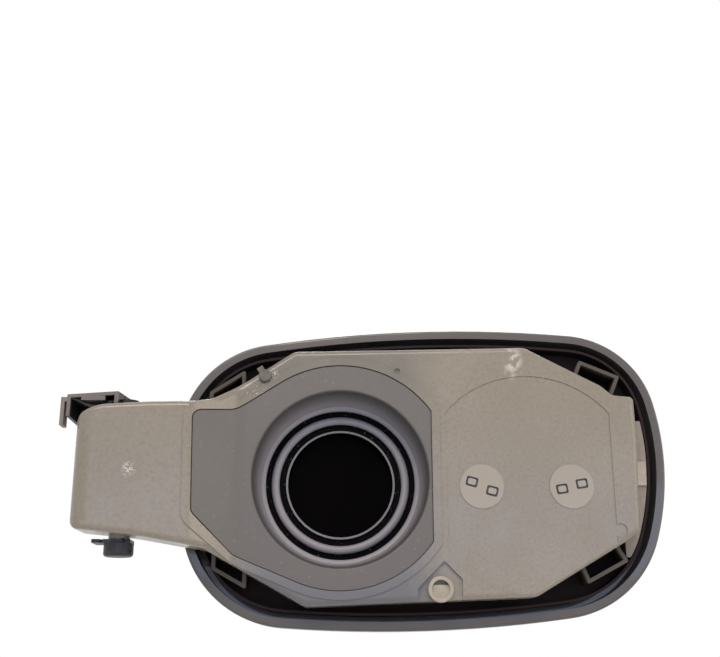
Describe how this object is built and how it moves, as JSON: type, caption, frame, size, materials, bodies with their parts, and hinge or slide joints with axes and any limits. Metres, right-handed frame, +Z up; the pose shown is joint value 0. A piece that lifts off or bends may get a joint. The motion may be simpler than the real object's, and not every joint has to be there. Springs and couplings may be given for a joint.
{
  "type": "fuel filler flap",
  "caption": "Car fuel filler flap with painted panel, clipped-in hinge plate, swan-neck arm on a pin hinge and a soft round holder for the filler cap.",
  "frame": {"origin": "on the hinge axis, half way up the knob of the lower pivot", "axes": "+Z up along the hinge axis, +X from the hinge towards the latch, +Y out of the car, the way the painted face looks"},
  "size_m": [0.2461, 0.0394, 0.1236],
  "materials": {
    "panel_paint": "dark warm grey paint, clear coated",
    "carrier_plastic": "black, fine grain",
    "plate_plastic": "warm grey, semi-gloss",
    "holder_rubber": "soft dark grey, matt",
    "buffer_rubber": "grey, matt",
    "socket_plastic": "cream, satin",
    "striker_steel": "warm grey, satin",
    "pin_steel": "ground",
    "bearing_plastic": "black",
    "cap_plastic": "black, satin",
    "spring_steel": "dull",
    "rail_plastic": "warm grey"
  },
  "bodies": {
    "hinge": {"upper_bearing": "bearing_plastic", "lower_bearing": "bearing_plastic", "pin_cap": "cap_plastic", "hinge_pin": "pin_steel", "detent_spring": "spring_steel"},
    "flap": {"outer_panel": "panel_paint", "inner_carrier": "carrier_plastic", "hinge_plate": "plate_plastic", "cap_holder": "holder_rubber", "latch_rail": "rail_plastic", "stop_buffer": "buffer_rubber", "lock_socket": "socket_plastic", "latch_striker": "striker_steel"}
  },
  "joints": [
    {"name": "flap_hinge", "type": "hinge", "parent": "hinge", "child": "flap", "pos_m": [0, 0, 0], "axis": [0, 0, 1], "range_deg": [0, 95]}
  ]
}
